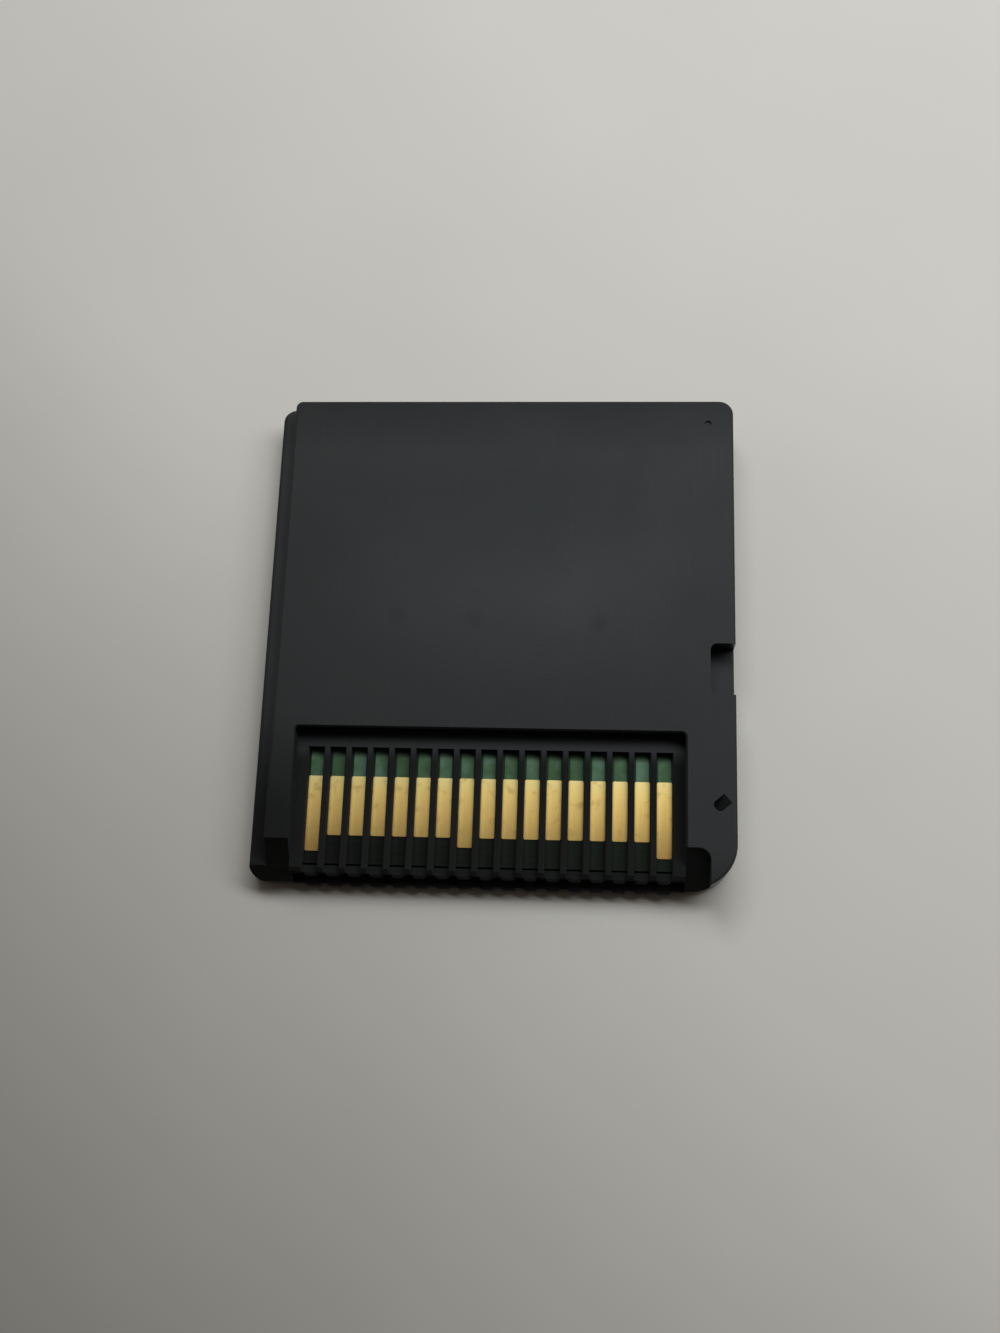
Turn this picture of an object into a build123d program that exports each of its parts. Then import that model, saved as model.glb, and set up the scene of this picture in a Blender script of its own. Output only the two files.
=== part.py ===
from build123d import *
from math import radians, tan
import os

# Handheld game card lying on its front: two welded shells around a contact board.
# +X runs right as the back is seen, +Y away from the contact edge, +Z up out of the back.
# The origin is on the front face, under the middle of the card. All sizes are in millimetres.

# Contact row and the widths beside it, from which the card's width follows
contact_count = 17
contact_pitch = 1.5
slot_width = 1.08
window_strip = 0.83
mouth_margin = 1.63
ledge_width = 1.25
keyed_band = 1.75

# Stack from the front face to the back face, from which the card's thickness follows
front_wall = 0.55
chip_space = 0.78
board_thickness = 0.6
rim_rise = 0.2
rib_height = 0.45
recess_depth = 1.22

# Lengths, counted from the contact edge
card_length = 35.0
nose_reach = 0.2
rib_setback = 0.65
window_length = 10.4
bar_length = 1.15
lead_in_length = 2.7
lead_in_step = 0.3
lead_in_angle = 39.0

# Walls, seats and clearances
back_wall = 0.8
top_wall = 1.2
contact_wall = 1.1
step_seat = 1.05
notch_backing = 0.5
seat_width = 0.8
lip_width = 0.8
lip_clearance = 0.1
board_clearance = 0.15
contact_relief = 0.1

# Corner and edge rounding
corner_round = 1.0
step_corner = 0.5
step_foot = 0.3
ledge_foot = 1.1
keyed_corner = 3.0
tray_corner = 1.2
window_corner = 0.3
lead_in_corner = 0.8
back_edge = 0.2
front_edge = 0.3
ledge_edge = 0.2
window_edge = 0.12
rib_edge = 0.06
seam_groove = 0.06
rib_end_slope = 0.25

# Latch notch on the right edge, and the small wedge-shaped pit beside that edge
latch_depth = 1.72
latch_length = 3.6
latch_from_edge = 13.1
latch_corner = 0.45
pit_width = 0.8
pit_length = 1.1
pit_depth = 0.75
pit_corner = 0.35
pit_inset = 1.45
pit_from_edge = 5.3
pit_turn = 40.0

# Moulding mark near the top right corner of the back
gate_mark_diameter = 0.5
gate_mark_depth = 0.12
gate_mark_inset = 1.8

# Front face: the bare panel and the insertion arrow
panel_margin = 1.9
panel_length = 23.0
panel_depth = 0.15
panel_corner = 1.2
arrow_width = 3.6
arrow_length = 2.6
arrow_depth = 0.2
arrow_from_edge = 3.6

# Fluted lip along the contact edge, and the tongues behind it that lead the springs onto the board
lip_reach = 0.62
lip_height = 1.0
tongue_side_gap = 0.04
tongue_root = 0.9
tongue_edge = 0.15
tongue_plan_round = 0.3

# Locating bosses on the tray's side walls, and their notches in the board
boss_radius = 0.9
boss_from_top = 10.0
boss_clearance = 0.1

# Coring pockets behind the contacts
core_count = 4
core_rib = 1.0

# Contacts and the covered tracks that lead to them
contact_gap = 0.02
contact_thickness = 0.05
contact_corner = 0.08
signal_length = 4.1
supply_length = 4.76
ground_length = 5.2
supply_number = 8
track_show = 1.95
track_under_bar = 0.9
track_width = 0.86
track_thickness = 0.04

# Chips and small parts on the hidden face of the board
rom_width = 9.0
rom_length = 11.6
rom_leads_per_side = 14
rom_pitch = 0.8
rom_shift = -5.0
save_width = 4.4
save_length = 3.0
save_leads_per_side = 4
save_pitch = 0.65
save_shift = 7.2
save_rise = 4.0
chip_height = 0.65
chip_standoff = 0.08
chip_edge = 0.1
pin_mark_diameter = 0.6
pin_mark_depth = 0.05
lead_width = 0.3
lead_thickness = 0.1
lead_shoulder = 0.3
lead_foot = 0.45
capacitor_size = 1.6
capacitor_width = 0.8
capacitor_height = 0.7
capacitor_count = 3
capacitor_pitch = 2.2
capacitor_drop = 1.5
resistor_size = 1.0
resistor_width = 0.5
resistor_height = 0.35
resistor_count = 2
resistor_pitch = 2.0
resistor_drop = 4.6
end_share = 0.22
cut_over = 1.0

# Heights
board_bottom = front_wall + chip_space
board_top = board_bottom + board_thickness
parting = board_top + rim_rise
recess_floor = parting + rib_height
back = recess_floor + recess_depth

# Widths, from the left edge to the right
row_length = (contact_count - 1) * contact_pitch
window_width = row_length + slot_width + 2 * window_strip
card_width = ledge_width + window_width + 2 * mouth_margin + keyed_band
left_edge = -card_width / 2
right_edge = card_width / 2
step_edge = left_edge + ledge_width
window_left = step_edge + mouth_margin
window_right = window_left + window_width
mouth_right = window_right + mouth_margin
row_centre = (window_left + window_right) / 2
tray_left = step_edge + step_seat
tray_right = right_edge - latch_depth - notch_backing
tray_centre = (tray_left + tray_right) / 2

# Lengths, from the contact edge to the top
nose_line = -card_length / 2
top_edge = card_length / 2
base_edge = nose_line + nose_reach
rib_end = base_edge + rib_setback
window_top = base_edge + window_length
slot_top = window_top - bar_length
lead_in_top = base_edge + lead_in_length
tray_bottom = base_edge + contact_wall
tray_top = top_edge - top_wall
cavity_bottom = window_top + lip_width
contact_top = slot_top - track_show
boss_y = top_edge - boss_from_top
boss_sides = ((tray_left, boss_y), (tray_right, boss_y))
tongue_width = slot_width - 2 * tongue_side_gap
contact_width = slot_width - 2 * contact_gap

os.makedirs("parts", exist_ok=True)


def rounded_plan(left, right, bottom, top, radii):
    """Rectangle in plan with its own radius at each corner, from the bottom left anticlockwise."""
    corners = ((left, bottom), (right, bottom), (right, top), (left, top))
    with BuildSketch() as plan:
        with Locations(((left + right) / 2, (bottom + top) / 2)):
            Rectangle(right - left, top - bottom)
        for (x, y), radius in zip(corners, radii):
            fillet(plan.vertices().sort_by_distance((x, y, 0))[0], radius)
    return plan.sketch


def tray_plan(inset):
    """Plan of the tray that holds the board, drawn in from its walls by the inset."""
    with BuildSketch() as plan:
        add(rounded_plan(tray_left, tray_right, tray_bottom, tray_top, [tray_corner] * 4))
        if inset:
            offset(amount=-inset, mode=Mode.REPLACE)
    return plan.sketch


def lead_in(left, right, head_corner):
    """Wedge cut away beside the window: a short step down from the back, then a slope to the edge."""
    slope_end = base_edge - cut_over
    step_floor = back - lead_in_step
    slope_drop = (lead_in_top - slope_end) * tan(radians(lead_in_angle))
    with BuildPart() as wedge:
        with BuildSketch(Plane.YZ.offset(left)):
            with BuildLine():
                Polyline(
                    (lead_in_top, back + cut_over),
                    (lead_in_top, step_floor),
                    (slope_end, step_floor - slope_drop),
                    (slope_end, back + cut_over),
                    close=True,
                )
            make_face()
        extrude(amount=right - left)
        head_edges = wedge.edges().filter_by(Axis.Z).group_by(Axis.Y)[-1]
        if head_corner:
            fillet(head_edges.sort_by(Axis.X)[-1], head_corner)
    return wedge.part


front_plan = rounded_plan(
    left_edge, right_edge, base_edge, top_edge, (ledge_foot, keyed_corner, corner_round, corner_round)
)
rear_plan = rounded_plan(
    step_edge, right_edge, base_edge, top_edge, (step_foot, keyed_corner, corner_round, step_corner)
)
left_lead_in = lead_in(left_edge - cut_over, window_left, 0)
right_lead_in = lead_in(window_right, mouth_right, lead_in_corner)

# One tongue, rounded in plan, on a flute of the lip that has the same outline
with BuildPart() as tongue:
    tongue_back = base_edge + tongue_root
    for height, front in ((lip_height, nose_line), (parting, nose_line + lip_reach)):
        with BuildSketch(Plane.XY.offset(front_edge)) as tongue_plan:
            with Locations((0, front)):
                Rectangle(tongue_width, tongue_back - front, align=(Align.CENTER, Align.MIN))
            fillet(tongue_plan.vertices().group_by(Axis.Y)[0], tongue_plan_round)
        extrude(amount=height - front_edge)
    top_edges = tongue.faces().sort_by(Axis.Z)[-1].edges().sort_by(Axis.Y)
    chamfer(top_edges[:-1], tongue_edge)

# Cutter for the small pit, drawn from its deep end, with a floor that rises to the back face
with BuildPart() as pit:
    with BuildSketch(Plane.XZ):
        with BuildLine():
            Polyline((0, cut_over), (0, -pit_depth), (pit_length, 0), (pit_length, cut_over), close=True)
        make_face()
    extrude(amount=pit_width / 2, both=True)
    fillet(pit.edges().filter_by(Axis.Z).group_by(Axis.X)[0], pit_corner)

# Front shell: a tray with a bare panel on its face and the fluted contact edge
with BuildPart() as front_shell:
    with BuildSketch():
        add(front_plan)
    extrude(amount=parting)
    chamfer(front_shell.faces().sort_by(Axis.Z)[0].outer_wire().edges(), front_edge)
    add(left_lead_in, mode=Mode.SUBTRACT)
    add(right_lead_in, mode=Mode.SUBTRACT)
    # Step down to the lip along the contact edge, as wide as the window
    with BuildSketch(Plane.XY.offset(lip_height)):
        with Locations((row_centre, base_edge + lip_reach)):
            Rectangle(window_width, lip_reach + cut_over, align=(Align.CENTER, Align.MAX))
    extrude(amount=parting - lip_height, mode=Mode.SUBTRACT)
    # Rounding along the ledge's outer edge alone, because the rest of the rim meets the rear shell flush
    with BuildSketch(Plane.XZ):
        with Locations((left_edge, parting)):
            Rectangle(ledge_edge, ledge_edge, align=(Align.MIN, Align.MAX))
        with Locations((left_edge + ledge_edge, parting - ledge_edge)):
            Circle(ledge_edge, mode=Mode.SUBTRACT)
    extrude(amount=card_length, both=True, mode=Mode.SUBTRACT)
    with Locations((row_centre, 0)):
        with GridLocations(contact_pitch, contact_pitch, contact_count, 1):
            add(tongue.part)
    # Seat for the board, and the chip pocket below it
    with BuildSketch(Plane.XY.offset(parting)):
        add(tray_plan(0))
    extrude(amount=board_bottom - parting, mode=Mode.SUBTRACT)
    with BuildSketch(Plane.XY.offset(board_bottom)):
        add(tray_plan(seat_width))
        with Locations((tray_centre, cavity_bottom)):
            Rectangle(card_width, card_length, align=(Align.CENTER, Align.MAX), mode=Mode.SUBTRACT)
    extrude(amount=-chip_space, mode=Mode.SUBTRACT)
    # Pockets that core out the backing behind the contacts
    core_span = tray_right - tray_left - 2 * seat_width
    core_pitch = (core_span + core_rib) / core_count
    core_bottom = tray_bottom + seat_width
    core_top = cavity_bottom - seat_width
    with BuildSketch(Plane.XY.offset(board_bottom)):
        with Locations((tray_centre, (core_bottom + core_top) / 2)):
            with GridLocations(core_pitch, core_pitch, core_count, 1):
                Rectangle(core_pitch - core_rib, core_top - core_bottom)
    extrude(amount=-chip_space, mode=Mode.SUBTRACT)
    # Half-round bosses on the side walls that locate the board
    with BuildSketch(Plane.XY.offset(board_bottom)):
        with Locations(*boss_sides):
            Circle(boss_radius)
    extrude(amount=board_thickness)
    # Bare panel and insertion arrow on the front face
    with BuildSketch() as panel:
        with Locations((0, top_edge - panel_margin)):
            panel_width = card_width - 2 * panel_margin
            Rectangle(panel_width, panel_length, align=(Align.CENTER, Align.MAX))
        fillet(panel.vertices(), panel_corner)
    extrude(amount=panel_depth, mode=Mode.SUBTRACT)
    with BuildSketch():
        with BuildLine():
            arrow_tip = base_edge + arrow_from_edge
            Polyline(
                (0, arrow_tip),
                (arrow_width / 2, arrow_tip + arrow_length),
                (-arrow_width / 2, arrow_tip + arrow_length),
                close=True,
            )
        make_face()
    extrude(amount=arrow_depth, mode=Mode.SUBTRACT)
front_shell.part.label = "front_shell"
export_step(front_shell.part, "parts/front_shell.step")

# Rear shell: the back with its contact window, ribs, lead-ins and notches
with BuildPart() as rear_shell:
    with BuildSketch(Plane.XY.offset(parting)):
        add(rear_plan)
    extrude(amount=back - parting)
    fillet(rear_shell.faces().sort_by(Axis.Z)[-1].outer_wire().edges(), back_edge)
    chamfer(rear_shell.faces().sort_by(Axis.Z)[0].outer_wire().edges(), seam_groove)
    # Lip that drops into the tray and holds the board down
    with BuildSketch(Plane.XY.offset(parting)):
        add(tray_plan(lip_clearance))
    extrude(amount=-rim_rise)
    # Hollow over the board
    with BuildSketch(Plane.XY.offset(board_top)):
        add(tray_plan(lip_clearance + lip_width))
        with Locations((tray_centre, cavity_bottom)):
            Rectangle(card_width, card_length, align=(Align.CENTER, Align.MAX), mode=Mode.SUBTRACT)
    extrude(amount=back - back_wall - board_top, mode=Mode.SUBTRACT)
    # Contact window, open at the contact edge
    with BuildSketch(Plane.XY.offset(recess_floor)) as window:
        with Locations((row_centre, window_top)):
            Rectangle(window_width, window_length + cut_over, align=(Align.CENTER, Align.MAX))
        fillet(window.vertices().group_by(Axis.Y)[-1], window_corner)
    extrude(amount=recess_depth, mode=Mode.SUBTRACT)
    with BuildSketch(Plane.XY.offset(board_top)):
        with Locations((row_centre, rib_end)):
            Rectangle(window_width, cut_over, align=(Align.CENTER, Align.MAX))
    extrude(amount=back - board_top, mode=Mode.SUBTRACT)
    end_edges = rear_shell.edges().filter_by(Axis.X).filter_by_position(Axis.Z, recess_floor, recess_floor)
    chamfer(end_edges.sort_by(Axis.Y)[0], rib_end_slope)
    # Slots that leave the bar and the ribs, and the relief over the contacts
    with BuildSketch(Plane.XY.offset(board_top)):
        with Locations((row_centre, slot_top)):
            with GridLocations(contact_pitch, contact_pitch, contact_count, 1):
                Rectangle(slot_width, window_length + cut_over, align=(Align.CENTER, Align.MAX))
    extrude(amount=back - board_top, mode=Mode.SUBTRACT)
    rib_sides = rear_shell.edges().filter_by(Axis.Y).filter_by_position(Axis.Z, recess_floor, recess_floor)
    inner_left = window_left + window_strip / 2
    inner_right = window_right - window_strip / 2
    chamfer(rib_sides.filter_by_position(Axis.X, inner_left, inner_right), rib_edge)
    with BuildSketch(Plane.XY.offset(board_top)):
        with Locations((row_centre, slot_top + bar_length)):
            relief_length = slot_top + bar_length - tray_bottom
            Rectangle(row_length + slot_width, relief_length, align=(Align.CENTER, Align.MAX))
    extrude(amount=contact_relief, mode=Mode.SUBTRACT)
    add(left_lead_in, mode=Mode.SUBTRACT)
    add(right_lead_in, mode=Mode.SUBTRACT)
    # Broken edge round the window's rim
    window_rim = rear_shell.faces().sort_by(Axis.Z)[-1].edges()
    window_rim = window_rim.filter_by_position(Axis.X, window_left, window_right)
    chamfer(window_rim.filter_by_position(Axis.Y, lead_in_top, window_top), window_edge)
    # Latch notch, cut down to the front shell's rim
    with BuildSketch(Plane.XY.offset(parting)) as latch:
        with Locations((right_edge - latch_depth, base_edge + latch_from_edge)):
            Rectangle(latch_depth + cut_over, latch_length, align=(Align.MIN, Align.MIN))
        fillet(latch.vertices().group_by(Axis.X)[0], latch_corner)
    extrude(amount=back - parting, mode=Mode.SUBTRACT)
    pit_spot = (right_edge - pit_inset, base_edge + pit_from_edge, back)
    with Locations(Location(pit_spot, (0, 0, pit_turn))):
        add(pit.part, mode=Mode.SUBTRACT)
    # Moulding mark
    with BuildSketch(Plane.XY.offset(back)):
        with Locations((right_edge - gate_mark_inset, top_edge - gate_mark_inset)):
            Circle(gate_mark_diameter / 2)
    extrude(amount=-gate_mark_depth, mode=Mode.SUBTRACT)
rear_shell.part.label = "rear_shell"
export_step(rear_shell.part, "parts/rear_shell.step")

# Circuit board, notched round the locating bosses
with BuildPart() as circuit_board:
    with BuildSketch(Plane.XY.offset(board_bottom)):
        add(tray_plan(board_clearance))
        with Locations(*boss_sides):
            Circle(boss_radius + boss_clearance, mode=Mode.SUBTRACT)
    extrude(amount=board_thickness)
circuit_board.part.label = "circuit_board"
export_step(circuit_board.part, "parts/circuit_board.step")

# Contacts: the end ones are ground, one is supply, and the rest carry signals
for number in range(1, contact_count + 1):
    contact_length = signal_length
    if number in (1, contact_count):
        contact_length = ground_length
    if number == supply_number:
        contact_length = supply_length
    contact_x = row_centre - row_length / 2 + (number - 1) * contact_pitch
    contact_name = f"contact_{number:02d}"
    with BuildPart() as contact:
        with BuildSketch(Plane.XY.offset(board_top)) as contact_plan:
            with Locations((contact_x, contact_top)):
                Rectangle(contact_width, contact_length, align=(Align.CENTER, Align.MAX))
            chamfer(contact_plan.vertices(), contact_corner)
        extrude(amount=contact_thickness)
    contact.part.label = contact_name
    export_step(contact.part, f"parts/{contact_name}.step")

# Covered copper tracks from the contacts to under the bar
with BuildPart() as signal_traces:
    with BuildSketch(Plane.XY.offset(board_top)):
        with Locations((row_centre, contact_top)):
            with GridLocations(contact_pitch, contact_pitch, contact_count, 1):
                Rectangle(track_width, track_show + track_under_bar, align=(Align.CENTER, Align.MIN))
    extrude(amount=track_thickness)
signal_traces.part.label = "signal_traces"
export_step(signal_traces.part, "parts/signal_traces.step")

# Middle of the chip pocket, from which the parts on the board are placed
pocket_top = tray_top - seat_width
pocket_middle = (cavity_bottom + pocket_top) / 2


def chip_body(centre_x, centre_y, width, length):
    """Moulded chip package under the board, with a round mark at its first lead."""
    face = board_bottom - chip_standoff - chip_height
    with BuildPart() as body:
        with BuildSketch(Plane.XY.offset(face)):
            with Locations((centre_x, centre_y)):
                Rectangle(width, length)
        extrude(amount=chip_height)
        chamfer(body.edges(), chip_edge)
        with BuildSketch(Plane.XY.offset(face)):
            mark_inset = pin_mark_diameter
            with Locations((centre_x - width / 2 + mark_inset, centre_y + length / 2 - mark_inset)):
                Circle(pin_mark_diameter / 2)
        extrude(amount=pin_mark_depth, mode=Mode.SUBTRACT)
    return body.part


def chip_leads(centre_x, centre_y, width, leads_per_side, pitch):
    """Two rows of bent leads: out of the package's side, up to the board and along it."""
    middle = board_bottom - chip_standoff - chip_height / 2
    side = width / 2
    bend = side + lead_shoulder
    with BuildPart() as lead:
        with BuildSketch(Plane.XZ):
            with BuildLine():
                Polyline(
                    (side, middle),
                    (bend, middle),
                    (bend, board_bottom - lead_thickness),
                    (bend + lead_foot, board_bottom - lead_thickness),
                    (bend + lead_foot, board_bottom),
                    (bend - lead_thickness, board_bottom),
                    (bend - lead_thickness, middle + lead_thickness),
                    (side, middle + lead_thickness),
                    close=True,
                )
            make_face()
        extrude(amount=lead_width / 2, both=True)
    with BuildPart() as leads:
        with Locations((centre_x, centre_y)):
            with GridLocations(pitch, pitch, 1, leads_per_side):
                add(lead.part)
                add(lead.part, rotation=(0, 0, 180))
    return leads.part


def small_part(centre_x, centre_y, size, width, height):
    """Ceramic block of a chip capacitor or resistor, between its two tinned ends."""
    with BuildPart() as block:
        with BuildSketch(Plane.XY.offset(board_bottom)):
            with Locations((centre_x, centre_y)):
                Rectangle(size * (1 - 2 * end_share), width)
        extrude(amount=-height)
    return block.part


def small_part_ends(centre_x, centre_y, size, width, height, count, pitch):
    """Tinned ends of a row of chip capacitors or resistors."""
    with BuildPart() as ends:
        with BuildSketch(Plane.XY.offset(board_bottom)):
            with Locations((centre_x, centre_y)):
                with GridLocations(pitch, pitch, count, 1):
                    with GridLocations(size * (1 - end_share), size, 2, 1):
                        Rectangle(size * end_share, width)
        extrude(amount=-height)
    return ends.part


def write(part, name):
    """Label a finished piece and write its file."""
    part.label = name
    export_step(part, f"parts/{name}.step")


rom_x = tray_centre + rom_shift
write(chip_body(rom_x, pocket_middle, rom_width, rom_length), "rom_chip")
write(chip_leads(rom_x, pocket_middle, rom_width, rom_leads_per_side, rom_pitch), "rom_chip_leads")
save_x = tray_centre + save_shift
save_y = pocket_middle + save_rise
write(chip_body(save_x, save_y, save_width, save_length), "save_chip")
write(chip_leads(save_x, save_y, save_width, save_leads_per_side, save_pitch), "save_chip_leads")

capacitor_y = pocket_middle - capacitor_drop
capacitor_block = (capacitor_size, capacitor_width, capacitor_height)
for index in range(capacitor_count):
    capacitor_x = save_x + (index - (capacitor_count - 1) / 2) * capacitor_pitch
    write(small_part(capacitor_x, capacitor_y, *capacitor_block), f"capacitor_{index + 1}")
ends = small_part_ends(save_x, capacitor_y, *capacitor_block, capacitor_count, capacitor_pitch)
write(ends, "capacitor_ends")
resistor_y = pocket_middle - resistor_drop
resistor_block = (resistor_size, resistor_width, resistor_height)
for index in range(resistor_count):
    resistor_x = save_x + (index - (resistor_count - 1) / 2) * resistor_pitch
    write(small_part(resistor_x, resistor_y, *resistor_block), f"resistor_{index + 1}")
ends = small_part_ends(save_x, resistor_y, *resistor_block, resistor_count, resistor_pitch)
write(ends, "resistor_ends")
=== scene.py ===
"""Looks of a black handheld game card that lies on its front, contact side up, on a pale table."""
from math import pi, radians

import bpy
import numpy as np
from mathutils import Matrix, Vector


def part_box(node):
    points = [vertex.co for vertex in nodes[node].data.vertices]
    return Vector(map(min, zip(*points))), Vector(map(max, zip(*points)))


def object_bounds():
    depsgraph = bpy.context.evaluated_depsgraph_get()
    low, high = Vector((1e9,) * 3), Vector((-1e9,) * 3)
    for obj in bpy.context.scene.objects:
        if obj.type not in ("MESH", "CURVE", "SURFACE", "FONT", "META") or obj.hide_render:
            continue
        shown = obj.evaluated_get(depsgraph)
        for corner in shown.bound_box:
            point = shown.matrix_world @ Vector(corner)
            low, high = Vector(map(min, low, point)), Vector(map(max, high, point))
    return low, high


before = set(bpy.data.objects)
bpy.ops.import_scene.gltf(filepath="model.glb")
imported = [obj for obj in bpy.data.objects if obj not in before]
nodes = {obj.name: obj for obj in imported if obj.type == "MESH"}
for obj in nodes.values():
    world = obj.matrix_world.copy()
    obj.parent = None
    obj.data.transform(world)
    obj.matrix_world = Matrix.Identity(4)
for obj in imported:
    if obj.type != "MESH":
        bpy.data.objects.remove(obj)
cad_low, cad_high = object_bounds()

MM = 0.001

# The contact row, measured on the frame
contact_number = 17
first_low, first_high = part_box("contact_01")
last_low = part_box("contact_17")[0]
contact_pitch = (last_low.x - first_low.x) / (contact_number - 1)
row_left = (first_low.x + first_high.x) / 2 - contact_pitch / 2
row_right = row_left + contact_number * contact_pitch
row_middle = (row_left + row_right) / 2
contact_top = first_high.y
contact_foot = first_low.y

# Distances from a contact's middle line, in pitches: the lane of the spring pin, and where the painted
# shade at the pad's sides starts and ends
pin_lane_core = 0.06
pin_lane_edge = 0.22
side_shade_start = 0.3
contact_half = (first_high.x - first_low.x) / 2 / contact_pitch

# The window around the row: the strips at its ends, its bar about 2 mm beyond the contacts, the height
# over the board that its ribs lie in, how far from the bar they are fully dull and darkened by painted
# shade, and the painted shadow of the bar on the tracks
window_strip = 0.6 * MM
bar_foot = contact_top + 2.0 * MM
board_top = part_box("circuit_board")[1].z
rib_room = 1.2 * MM
rib_fade = 1.0 * MM
bar_shadow_start = bar_foot - 0.75 * MM
bar_shadow_full = bar_foot - 0.45 * MM

# The ledge along the left edge, which the slot's guide rubs, measured on the frame, and the depth of its
# top that takes the rubbing and a painted highlight
ledge_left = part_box("front_shell")[0].x
ledge_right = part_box("rear_shell")[0].x
ledge_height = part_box("front_shell")[1].z
ledge_skin = 0.02 * MM

# Wear of the shells: the dull contact end, which leans to the left and is darkened by painted shade; the
# patch that hands polish, by its centre, its squeeze and its reach; the duller far end; the rubbed edges,
# which also carry a painted highlight; and the hairline scratches
dull_shade_lean = 0.3
dull_shade_start = -10.0 * MM
dull_shade_full = -17.0 * MM
polish_shift = (-0.5 * MM, -2.5 * MM, 0)
polish_squeeze = (0.45, 1, 0)
polish_reach = 9.0 * MM
far_end_start = 13.5 * MM
far_end_full = 17.5 * MM
edge_round = 0.14 * MM
scratch_turn = radians(7)
scratch_stretch = 0.03

# Faint stains on the back, and how far each reaches from its middle
stain_places = ((-6.94, 1.05), (-1.53, 0.89), (7.17, 0.78))
stain_spots = [Vector((x * MM, y * MM, cad_high.z)) for x, y in stain_places]
stain_reach = 1.0 * MM

# Camera, at the photograph's viewing angle
camera_place = Vector((7.502, -26.914, 95.478)) * MM
camera_turn = (radians(15.028), radians(3.933), radians(1.887))
camera_lens = 37.31
sensor_size = 36.0

# Painted shadow on the table: its tone falls off to the near left, from the start of the painted shadow to
# where it is full
painted_shadow_start = -5.0 * MM
painted_shadow_full = -85.0 * MM

# One wide soft panel, high up beyond the far edge and to the right
panel_place = Vector((70.0, 96.0, 172.0)) * MM
panel_target = Vector((40.0, 10.0, 0.0)) * MM
panel_width = 300.0 * MM
panel_height = 80.0 * MM
panel_power = 0.395
panel_colour = "#f6fbff"

# A dim room: most of its light comes from the walls, and little from above or behind the camera
wall_light = 0.4
room_light = 0.03
room_colour = "#fff3e2"


def linear(code):
    """An sRGB hex colour as linear red, green, blue and full alpha."""
    srgb = np.array([int(code[i:i + 2], 16) for i in (1, 3, 5)]) / 255
    return (*np.where(srgb <= 0.04045, srgb / 12.92, ((srgb + 0.055) / 1.055) ** 2.4), 1.0)


def per_mm(size):
    """Texture scale that gives a pattern features of this size in millimetres."""
    return 1 / (size * MM)


def add(tree, kind, settings=None, links=None, output=0):
    """Adds one shader node, sets its properties and sockets, joins its inputs, and gives one output."""
    node = tree.nodes.new("ShaderNode" + kind)
    for name, value in (settings or {}).items():
        if name == "stops":
            ramp = node.color_ramp
            while len(ramp.elements) < len(value):
                ramp.elements.new(1.0)
            for stop, (position, code) in zip(ramp.elements, value):
                stop.position = position
                stop.color = linear(code)
        elif isinstance(name, str) and hasattr(node, name):
            setattr(node, name, value)
        else:
            node.inputs[name].default_value = value
    for name, source in (links or {}).items():
        tree.links.new(source, node.inputs[name])
    return node.outputs[output]


def start(name):
    """A new material with its node tree, and the piece's own coordinates in metres."""
    material = bpy.data.materials.new(name)
    material.use_nodes = True
    tree = material.node_tree
    place = add(tree, "TexCoord", output="Object")
    return material, tree, place


def cover(tree, colour, roughness, height, strength, depth):
    """Joins a colour, a roughness and a relief to the material's shader, and gives the shader."""
    shader = tree.nodes["Principled BSDF"]
    relief = add(tree, "Bump", {"Strength": strength, "Distance": depth}, {"Height": height})
    for name, source in {"Base Color": colour, "Roughness": roughness, "Normal": relief}.items():
        tree.links.new(source, shader.inputs[name])
    return shader


def dullness_and_painted_shade(tree, x, y, z):
    """How dull the plastic is, and how deep its painted shade, from 0 to 1.

    No hand polishes the end that sits in the slot, which is dullest at the near left, or the window's ribs;
    the darkening that goes with it is painted shade, deepest at the near left and on the ribs.
    """
    # Painted shade: the end in the slot darkens towards the near left
    lean = add(tree, "Math", {"operation": "MULTIPLY_ADD", 1: dull_shade_lean}, {0: x, 2: y})
    slot_end = add(tree, "MapRange", {"From Min": dull_shade_start, "From Max": dull_shade_full}, {"Value": lean})

    # Painted shade: the window's ribs darken away from the bar
    width = {"operation": "COMPARE", 1: row_middle, 2: row_right - row_middle + window_strip}
    in_window = add(tree, "Math", width, {0: x})
    room = {"operation": "COMPARE", 1: board_top + rib_room / 2, 2: rib_room / 2}
    sunk = add(tree, "Math", room, {0: z})
    fade = {"From Min": bar_foot, "From Max": bar_foot - rib_fade}
    past_bar = add(tree, "MapRange", fade, {"Value": y})
    inside = add(tree, "Math", {"operation": "MULTIPLY"}, {0: in_window, 1: sunk})
    ribs = add(tree, "Math", {"operation": "MULTIPLY"}, {0: inside, 1: past_bar})
    return add(tree, "Math", {"operation": "MAXIMUM"}, {0: slot_end, 1: ribs})


def rubbed_and_highlit_lane(tree, x, z, dull_and_shade):
    """The lane along the ledge that the slot's guide rubs pale, which also stands as a painted highlight on
    the ledge, up to where the plastic is dull.
    """
    lane = {"operation": "COMPARE", 1: (ledge_left + ledge_right) / 2, 2: (ledge_right - ledge_left) / 4}
    in_lane = add(tree, "Math", lane, {0: x})
    on_top = add(tree, "Math", {"operation": "GREATER_THAN", 1: ledge_height - ledge_skin}, {0: z})
    rubbed = add(tree, "Math", {"operation": "MULTIPLY"}, {0: in_lane, 1: on_top})
    polished = add(tree, "Math", {"operation": "SUBTRACT", 0: 1.0}, {1: dull_and_shade})
    return add(tree, "Math", {"operation": "MULTIPLY"}, {0: rubbed, 1: polished})


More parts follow.
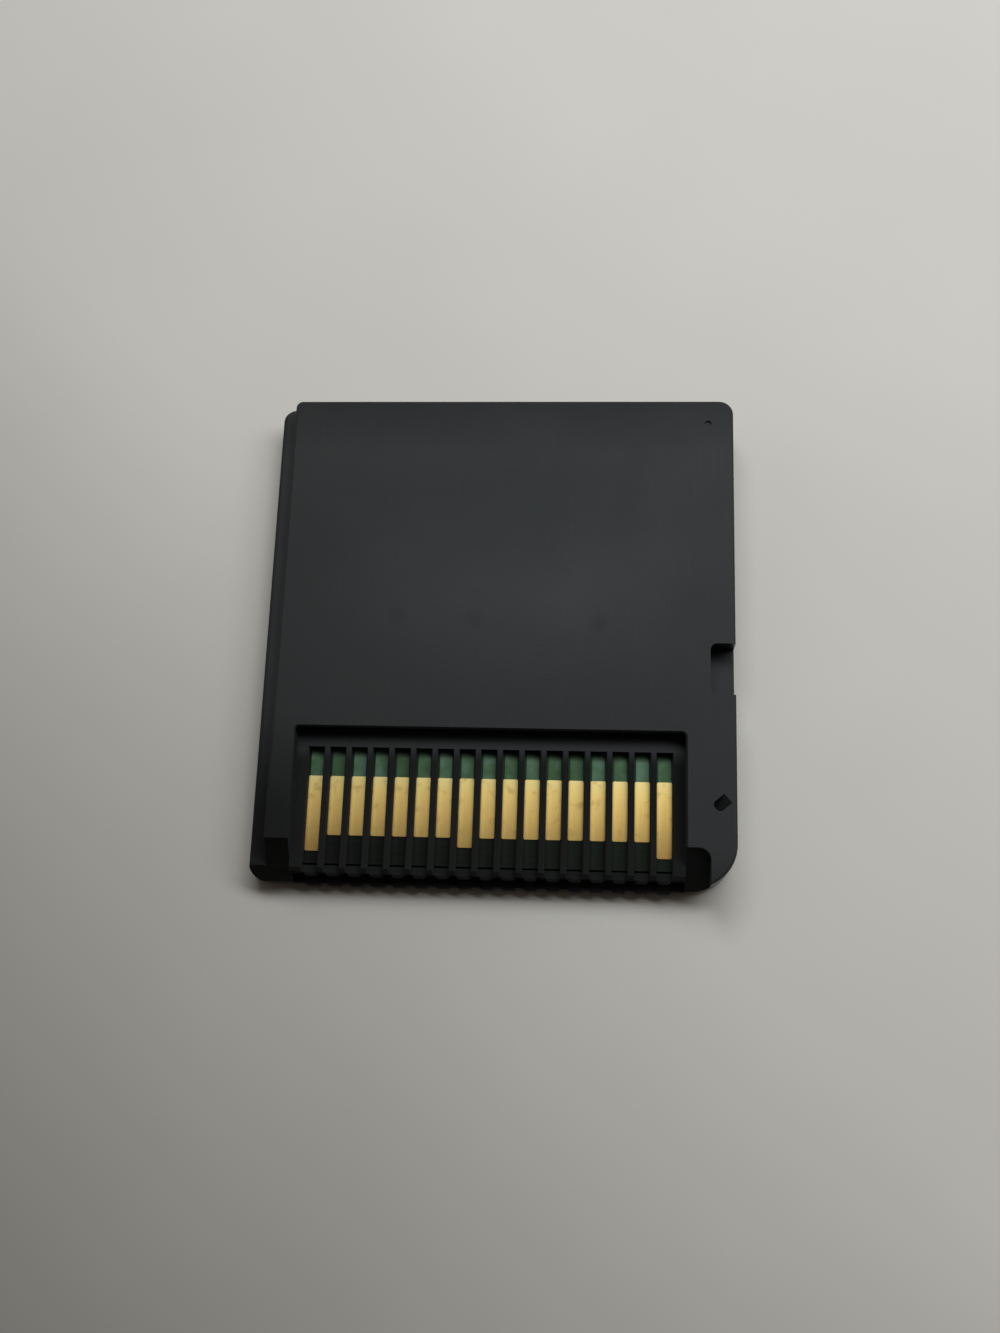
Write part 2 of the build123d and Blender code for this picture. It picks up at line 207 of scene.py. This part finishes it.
def rubbed_and_highlit_edges(tree, breaks):
    """The edges, found where a rounded-off normal leaves the true one, with breaks in them; their paler
    colour is wear and also a painted highlight.
    """
    rounded = add(tree, "Bevel", {"samples": 6, "Radius": edge_round})
    flat = add(tree, "NewGeometry", output="Normal")
    facing = add(tree, "VectorMath", {"operation": "DOT_PRODUCT"}, {0: rounded, 1: flat}, "Value")
    edge = add(tree, "MapRange", {"From Min": 0.985, "From Max": 0.86}, {"Value": facing})
    return add(tree, "Math", {"operation": "MULTIPLY"}, {0: edge, 1: breaks})


def hand_polish(tree, place, y):
    """Change of roughness: less where hands polish the middle of each face, more at the far end."""
    patch = {"Location": polish_shift, "Scale": polish_squeeze}
    centred = add(tree, "Mapping", patch, {"Vector": place})
    from_centre = add(tree, "VectorMath", {"operation": "LENGTH"}, {0: centred}, "Value")
    fade = {"interpolation_type": "SMOOTHSTEP", "From Max": polish_reach, "To Min": -0.075, "To Max": 0.0}
    handled = add(tree, "MapRange", fade, {"Value": from_centre})
    rise = {"From Min": far_end_start, "From Max": far_end_full, "To Max": 0.1}
    far_end = add(tree, "MapRange", rise, {"Value": y})
    return add(tree, "Math", {"operation": "ADD"}, {0: handled, 1: far_end})


def hairlines(tree, place):
    """Scratches of sliding in and out, finer in life, drawn from 0.12 mm noise so that they show."""
    stretch = {"Rotation": (0, 0, scratch_turn), "Scale": (1, scratch_stretch, 1)}
    stretched = add(tree, "Mapping", stretch, {"Vector": place})
    hair = add(tree, "TexNoise", {"Scale": per_mm(0.12), "Detail": 1}, {"Vector": stretched})
    return add(tree, "MapRange", {"From Min": 0.68, "From Max": 0.74}, {"Value": hair})


def stained(tree, place, breaks, roughness):
    """The roughness, raised in the faint stains on the back, which have less sheen."""
    fade = {"interpolation_type": "SMOOTHSTEP", "From Min": stain_reach, "From Max": 0.0, "To Max": 0.09}
    for spot in stain_spots:
        distance = add(tree, "VectorMath", {"operation": "DISTANCE", 1: spot}, {0: place}, "Value")
        stain = add(tree, "MapRange", fade, {"Value": distance})
        roughness = add(tree, "Math", {"operation": "MULTIPLY_ADD"}, {0: stain, 1: breaks, 2: roughness})
    return roughness


def black_abs():
    """Black ABS moulded in a spark-eroded tool.

    To the eye it is a satin black with a fine even grain, cloudy and glossier where hands have polished it,
    dull at the contact end, with faintly rubbed edges, hairline scratches and a few stains. Painted shade
    darkens the contact end towards the near left and the window's ribs, and painted highlights pale the
    edges and the lane along the ledge.
    """
    material, tree, place = start("black_ABS_spark_eroded_moulding")
    x, y, z = add(tree, "SeparateXYZ", {}, {"Vector": place}).node.outputs

    # Clouds of handling, about 8 mm across, and the finer breaks in the wear, about 1.1 mm
    clouds = add(tree, "TexNoise", {"Scale": per_mm(8), "Detail": 4, "Roughness": 0.55}, {"Vector": place})
    breaks = add(tree, "TexNoise", {"Scale": per_mm(1.1), "Detail": 3}, {"Vector": place})
    dull_and_shade = dullness_and_painted_shade(tree, x, y, z)
    # Rubbing and a painted highlight: the paler lane along the ledge
    lane = rubbed_and_highlit_lane(tree, x, z, dull_and_shade)
    # Wear and a painted highlight: paler edges
    edge_wear_and_highlight = rubbed_and_highlit_edges(tree, breaks)

    # Darker where it is dull, with painted shade; paler where it is rubbed, with painted highlights on the
    # edges and the ledge
    clouded = add(tree, "ValToRGB", {"stops": [(0.3, "#0a0f10"), (0.7, "#0f1516")]}, {"Fac": clouds})
    darker = add(tree, "MixRGB", {"Color2": linear("#050606")}, {"Fac": dull_and_shade, "Color1": clouded})
    guide_worn_and_highlit = add(tree, "MixRGB", {"Color2": linear("#1f2122")}, {"Fac": lane, "Color1": darker})
    colour = add(tree, "MixRGB", {"Color2": linear("#17191a")}, {"Fac": edge_wear_and_highlight, "Color1": guide_worn_and_highlit})

    sheen = {"From Min": 0.3, "From Max": 0.7, "To Min": 0.64, "To Max": 0.7}
    gloss = add(tree, "MapRange", sheen, {"Value": clouds})
    polish = hand_polish(tree, place, y)
    handled = add(tree, "Math", {"operation": "ADD"}, {0: gloss, 1: polish})
    matt = add(tree, "Math", {"operation": "MULTIPLY_ADD", 1: 0.3}, {0: dull_and_shade, 2: handled})
    scratches = hairlines(tree, place)
    scuffed = add(tree, "Math", {"operation": "MULTIPLY_ADD", 1: -0.025}, {0: scratches, 2: matt})
    spotted = stained(tree, place, breaks, scuffed)

    # Slopes and ends that face the contact edge lead the card in, and are smooth
    normal = add(tree, "NewGeometry", output="True Normal")
    facing = add(tree, "SeparateXYZ", {}, {"Vector": normal}, "Y")
    leading = add(tree, "MapRange", {"From Min": -0.4, "From Max": -0.6}, {"Value": facing})
    roughness = add(tree, "Mix", {"data_type": "FLOAT", 3: 0.34}, {0: leading, 2: spotted})

    # The real grain is about 0.05 mm; it is drawn at 0.16 mm, because finer wouldn't show in the render
    grain = add(tree, "TexNoise", {"Scale": per_mm(0.16), "Detail": 2, "Roughness": 0.6}, {"Vector": place})
    shader = cover(tree, colour, roughness, grain, strength=0.25, depth=0.02 * MM)
    shader.inputs["IOR"].default_value = 1.54
    return material


def in_row(tree, x):
    """Place across the contact row, counted in contacts, and a chance value of its own for each contact."""
    count = {"operation": "MULTIPLY_ADD", 1: 1 / contact_pitch, 2: -row_left / contact_pitch}
    pads = add(tree, "Math", count, {0: x})
    number = add(tree, "Math", {"operation": "FLOOR"}, {0: pads})
    chance = add(tree, "TexWhiteNoise", {"noise_dimensions": "1D"}, {"W": number})
    return pads, chance


def painted_light_rightwards(tree, x, colour, left_tone, right_tone):
    """The colour, with its brightness going from one tone at the row's left end to another at its right, as
    painted light.
    """
    span = {"From Min": row_left, "From Max": row_right, "To Min": left_tone, "To Max": right_tone}
    tone = add(tree, "MapRange", span, {"Value": x})
    return add(tree, "HueSaturation", {}, {"Color": colour, "Value": tone})


def hard_gold():
    """Copper pads plated with nickel and hard gold.

    To the eye they are a satin yellow metal, brightest at the end by the tracks, duller and browner
    where the spring pins rub along them, with fine lengthwise rub marks and a few tarnished spots.
    """
    material, tree, place = start("hard_gold_plated_over_nickel")
    x, y = add(tree, "SeparateXYZ", {}, {"Vector": place}).node.outputs[:2]

    # Place along the pad from the end by its track, and distance from its middle line in pitches
    along = add(tree, "MapRange", {"From Min": contact_top, "From Max": contact_foot}, {"Value": y})
    pads, chance = in_row(tree, x)
    across = add(tree, "Math", {"operation": "FRACT"}, {0: pads})
    middle = add(tree, "Math", {"operation": "SUBTRACT", 1: 0.5}, {0: across})
    from_middle = add(tree, "Math", {"operation": "ABSOLUTE"}, {0: middle})
    stops = [(0.0, "#ffe79c"), (0.2, "#ffdf8a"), (0.5, "#f2ce7c"), (1.0, "#b89657")]
    fading = add(tree, "ValToRGB", {"stops": stops}, {"Fac": along})

    # Rub marks of the spring pins, 0.07 mm wide, drawn at 0.1 mm so that they show
    stretched = add(tree, "Mapping", {"Scale": (1, 0.06, 1)}, {"Vector": place})
    rubs = add(tree, "TexNoise", {"Scale": per_mm(0.1), "Detail": 3}, {"Vector": stretched})
    fade = {"interpolation_type": "SMOOTHSTEP", "From Min": pin_lane_edge, "From Max": pin_lane_core}
    lane = add(tree, "MapRange", fade, {"Value": from_middle})
    reached = add(tree, "Math", {"operation": "MULTIPLY"}, {0: lane, 1: along})
    rubbed = add(tree, "Math", {"operation": "MULTIPLY"}, {0: reached, 1: rubs})
    pin_worn = add(tree, "MixRGB", {"Color2": linear("#bd9d5a")}, {"Fac": rubbed, "Color1": fading})

    # Tarnish, in spots about 0.7 mm across
    spots = add(tree, "TexNoise", {"Scale": per_mm(0.7), "Detail": 3}, {"Vector": place})
    tarnish = add(tree, "MapRange", {"From Min": 0.56, "From Max": 0.72, "To Max": 0.4}, {"Value": spots})
    spotted = add(tree, "MixRGB", {"Color2": linear("#b9934c")}, {"Fac": tarnish, "Color1": pin_worn})

    # Sides of the pad, darkened with painted shade of the ribs beside them and of the rounded edges
    side_shade_range = {"From Min": side_shade_start, "From Max": contact_half, "To Max": 0.6}
    side = add(tree, "MapRange", side_shade_range, {"Value": from_middle})
    sided = add(tree, "MixRGB", {"Color2": linear("#8f5f22")}, {"Fac": side, "Color1": spotted})
    shade = add(tree, "MapRange", {"To Min": 0.99, "To Max": 1.05}, {"Value": chance})
    colour = add(tree, "HueSaturation", {}, {"Color": sided, "Value": shade})

    roughness = add(tree, "MapRange", {"To Min": 0.47, "To Max": 0.59}, {"Value": rubs})
    shader = cover(tree, colour, roughness, rubs, strength=0.2, depth=0.01 * MM)
    shader.inputs["Metallic"].default_value = 1.0
    return material


def masked_copper():
    """Copper tracks under green solder mask, which is screened on and cured.

    To the eye they are a soft glossy green, paler than the board because the copper shines through, with
    painted light that makes them paler towards the right end of the row and a painted shadow along the bar.
    """
    material, tree, place = start("green_solder_mask_over_copper")
    x, y = add(tree, "SeparateXYZ", {}, {"Vector": place}).node.outputs[:2]

    # Clouds in the mask, about 0.9 mm across, and a tone of its own for each track
    clouds = add(tree, "TexNoise", {"Scale": per_mm(0.9), "Detail": 3}, {"Vector": place})
    chance = in_row(tree, x)[1]
    mixed = add(tree, "Math", {"operation": "MULTIPLY_ADD", 1: 0.5}, {0: chance, 2: clouds})
    stops = [(0.4, "#234a1c"), (0.7, "#30572b"), (1.0, "#4e7156")]
    green = add(tree, "ValToRGB", {"stops": stops}, {"Fac": mixed})
    # Painted light: the tracks grow paler towards the right end of the row
    toned = painted_light_rightwards(tree, x, green, left_tone=1.0, right_tone=1.3)

    # Painted shadow of the bar on the tracks: darker and rougher along the bar
    edge = {"From Min": bar_shadow_start, "From Max": bar_shadow_full, "To Max": 0.5}
    bar_shadow = add(tree, "MapRange", edge, {"Value": y})
    colour = add(tree, "MixRGB", {"Color2": linear("#070a07")}, {"Fac": bar_shadow, "Color1": toned})
    gloss = add(tree, "MapRange", {"To Min": 0.4, "To Max": 0.55}, {"Value": clouds})
    roughness = add(tree, "Math", {"operation": "MULTIPLY_ADD", 1: 0.4}, {0: bar_shadow, 2: gloss})

    # Orange peel of the cured mask, 0.3 mm from crest to crest
    peel = add(tree, "TexNoise", {"Scale": per_mm(0.3), "Detail": 1}, {"Vector": place})
    shader = cover(tree, colour, roughness, peel, strength=0.25, depth=0.02 * MM)
    shader.inputs["IOR"].default_value = 1.52
    return material


def board_laminate():
    """Woven glass and epoxy laminate under dark solder mask.

    To the eye it is a dark green that goes to black towards the contact edge, with a faint weave, and
    painted light turns it grey green towards the right end.
    """
    material, tree, place = start("glass_epoxy_laminate_under_solder_mask")
    x, y = add(tree, "SeparateXYZ", {}, {"Vector": place}).node.outputs[:2]
    depth = add(tree, "MapRange", {"From Min": contact_foot, "From Max": contact_top}, {"Value": y})
    stops = [(0.0, "#090d07"), (0.7, "#0d160e"), (1.0, "#182e1c")]
    green = add(tree, "ValToRGB", {"stops": stops}, {"Fac": depth})
    # Painted light: the board grows paler towards the right end of the row
    colour = painted_light_rightwards(tree, x, green, left_tone=0.6, right_tone=3.2)

    # Weave of the glass cloth, with threads 0.5 mm apart; the wave node has 20 radians to a unit
    threads = per_mm(0.5) * 2 * pi / 20
    warp, weft = (
        add(
            tree,
            "TexWave",
            {"bands_direction": direction, "Scale": threads, "Distortion": 1.0},
            {"Vector": place},
            "Fac",
        )
        for direction in "XY"
    )
    weave = add(tree, "Math", {"operation": "MULTIPLY"}, {0: warp, 1: weft})
    roughness = add(tree, "MapRange", {"To Min": 0.84, "To Max": 0.94}, {"Value": weave})
    shader = cover(tree, colour, roughness, weave, strength=0.15, depth=0.01 * MM)
    shader.inputs["Specular IOR Level"].default_value = 0.3
    return material


def grained(name, dark, pale, grain_size, roughness, metallic=0.0, relief=0.3):
    """A material of two mottled tones with a matching fine relief, for the parts inside the card."""
    material, tree, place = start(name)
    mottle = add(tree, "TexNoise", {"Scale": per_mm(grain_size), "Detail": 4}, {"Vector": place})
    colour = add(tree, "ValToRGB", {"stops": [(0.35, dark), (0.65, pale)]}, {"Fac": mottle})
    spread = {"To Min": roughness - 0.08, "To Max": roughness + 0.08}
    gloss = add(tree, "MapRange", spread, {"Value": mottle})
    shader = cover(tree, colour, gloss, mottle, strength=relief, depth=0.02 * MM)
    shader.inputs["Metallic"].default_value = metallic
    return material


def pale_table():
    """Matt off-white paint on a table top, rolled on.

    To the eye it is a soft even white with a trace of cloudiness, and a painted shadow makes its tone fall
    off to the near left.
    """
    material, tree, place = start("matt_off_white_table_paint")
    x, y = add(tree, "SeparateXYZ", {}, {"Vector": place}).node.outputs[:2]

    # Clouds in the paint, about 30 mm across
    clouds = add(tree, "TexNoise", {"Scale": per_mm(30), "Detail": 3}, {"Vector": place})
    white = add(tree, "ValToRGB", {"stops": [(0.3, "#dfdbd3"), (0.7, "#e4e0d8")]}, {"Fac": clouds})
    # Painted shadow: the tone falls off towards the near left
    lean = add(tree, "Math", {"operation": "ADD"}, {0: x, 1: y})
    painted_shadow_fall = {"From Min": painted_shadow_full, "From Max": painted_shadow_start, "To Min": 0.47, "To Max": 1.0}
    tone = add(tree, "MapRange", painted_shadow_fall, {"Value": lean})
    colour = add(tree, "HueSaturation", {}, {"Color": white, "Value": tone})

    shader = tree.nodes["Principled BSDF"]
    tree.links.new(colour, shader.inputs["Base Color"])
    shader.inputs["Roughness"].default_value = 0.7
    shader.inputs["Specular IOR Level"].default_value = 0.2
    return material


def dress(material, names):
    """Puts a material on CAD nodes through their material slots."""
    for name in names:
        nodes[name].data.materials.clear()
        nodes[name].data.materials.append(material)


def build_floor():
    """A flat square under the card, 10 m on a side."""
    half = 5.0
    mesh = bpy.data.meshes.new("table_top")
    corners = [(-half, -half, 0), (half, -half, 0), (half, half, 0), (-half, half, 0)]
    mesh.from_pydata(corners, [], [(0, 1, 2, 3)])
    floor = bpy.data.objects.new("table_top", mesh)
    floor.location.z = cad_low.z
    floor.data.materials.append(pale_table())
    bpy.context.scene.collection.objects.link(floor)


def build_light():
    """The soft panel, and a room whose light falls off upwards and towards the side behind the camera."""
    lamp = bpy.data.lights.new("soft_panel", "AREA")
    lamp.shape = "RECTANGLE"
    lamp.size = panel_width
    lamp.size_y = panel_height
    lamp.energy = panel_power
    lamp.color = linear(panel_colour)[:3]
    panel = bpy.data.objects.new("soft_panel", lamp)
    panel.location = panel_place
    panel.rotation_euler = (panel_target - panel_place).to_track_quat("-Z", "Y").to_euler()
    panel.visible_camera = False
    bpy.context.scene.collection.objects.link(panel)

    world = bpy.data.worlds.new("dim_room")
    world.use_nodes = True
    tree = world.node_tree
    direction = add(tree, "TexCoord", output="Generated")
    y, z = add(tree, "SeparateXYZ", {}, {"Vector": direction}).node.outputs[1:]
    low = add(tree, "MapRange", {"From Min": 0.75, "From Max": 0.35}, {"Value": z})
    beyond = add(tree, "MapRange", {"From Min": -0.5, "From Max": 0.1}, {"Value": y})
    walls = add(tree, "Math", {"operation": "MULTIPLY"}, {0: low, 1: beyond})
    level = add(tree, "MapRange", {"To Min": room_light, "To Max": wall_light}, {"Value": walls})
    background = tree.nodes["Background"]
    background.inputs["Color"].default_value = linear(room_colour)
    tree.links.new(level, background.inputs["Strength"])
    bpy.context.scene.world = world


def build_camera():
    """The camera at the photograph's place."""
    data = bpy.data.cameras.new("camera")
    data.lens = camera_lens
    data.sensor_width = sensor_size
    data.clip_start = 1 * MM
    data.clip_end = 10.0
    camera = bpy.data.objects.new("camera", data)
    camera.location = camera_place
    camera.rotation_euler = camera_turn
    bpy.context.scene.collection.objects.link(camera)
    bpy.context.scene.camera = camera


contacts = [f"contact_{number:02d}" for number in range(1, contact_number + 1)]
dress(black_abs(), ["front_shell", "rear_shell"])
dress(hard_gold(), contacts)
dress(masked_copper(), ["signal_traces"])
dress(board_laminate(), ["circuit_board"])

# Transfer-moulded epoxy with fused silica: a dull charcoal with a fine salt-and-pepper grain
epoxy = grained("transfer_moulded_chip_epoxy", "#191a1c", "#26282a", grain_size=0.12, roughness=0.6)
dress(epoxy, ["rom_chip", "save_chip"])

# Copper leads dipped in tin: a soft grey metal with a slightly frosted skin
tin = grained(
    "dip_tinned_copper_leads", "#a9abac", "#c9cbcb",
    grain_size=0.15, roughness=0.36, metallic=1.0, relief=0.15,
)
dress(tin, ["rom_chip_leads", "save_chip_leads", "capacitor_ends", "resistor_ends"])

# Sintered ceramic: a chalky tan brown
ceramic = grained("sintered_capacitor_ceramic", "#8a6a48", "#a5835c", grain_size=0.2, roughness=0.55)
dress(ceramic, ["capacitor_1", "capacitor_2", "capacitor_3"])

# Glazed resistor film on alumina: a smooth black glass
film = grained("glazed_resistor_film", "#101113", "#1a1b1e", grain_size=0.25, roughness=0.3, relief=0.1)
dress(film, ["resistor_1", "resistor_2"])

build_floor()
build_light()
build_camera()
bpy.context.scene.view_settings.view_transform = "Standard"
